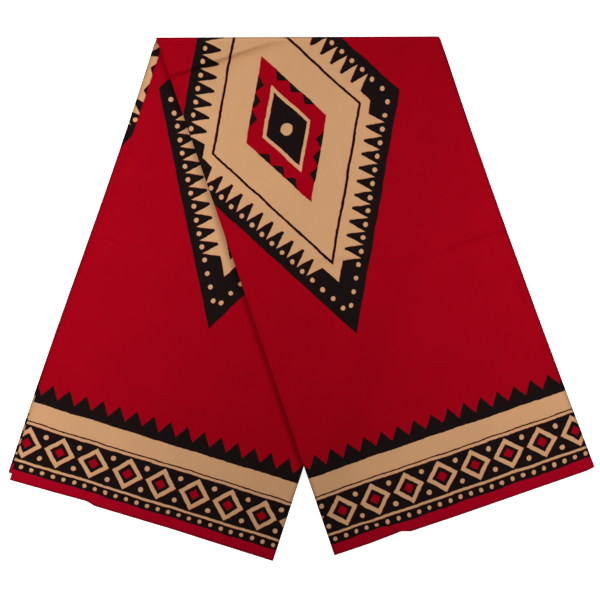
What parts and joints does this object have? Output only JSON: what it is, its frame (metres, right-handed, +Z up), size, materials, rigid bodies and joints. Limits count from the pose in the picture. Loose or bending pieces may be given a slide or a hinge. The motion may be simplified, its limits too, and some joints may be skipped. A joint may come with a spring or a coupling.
{
  "type": "folded length of ankara cloth",
  "caption": "Length of printed wax cotton, plaited and folded into a flat strip and folded over on a slant, so that its legs spread; lies flat.",
  "frame": {"origin": "on the surface that the cloth rests on, under the middle of its bounding box", "axes": "+X to the right and +Y towards the top fold, as the cloth is looked down on; +Z up"},
  "size_m": [0.6666, 0.5956, 0.0131],
  "materials": {
    "printed_cotton_face": "flat plain-weave cotton, printed red, black and cream, smooth and slightly crisp",
    "printed_cotton_layers": "folded edges and selvedges of the same cotton, red"
  },
  "bodies": {
    "root": {"front_leg_ply": "printed_cotton_face", "back_leg_ply": "printed_cotton_face", "back_leg_second_ply": "printed_cotton_face", "front_leg_inner_plies": "printed_cotton_layers", "back_leg_inner_plies": "printed_cotton_layers"}
  },
  "joints": []
}
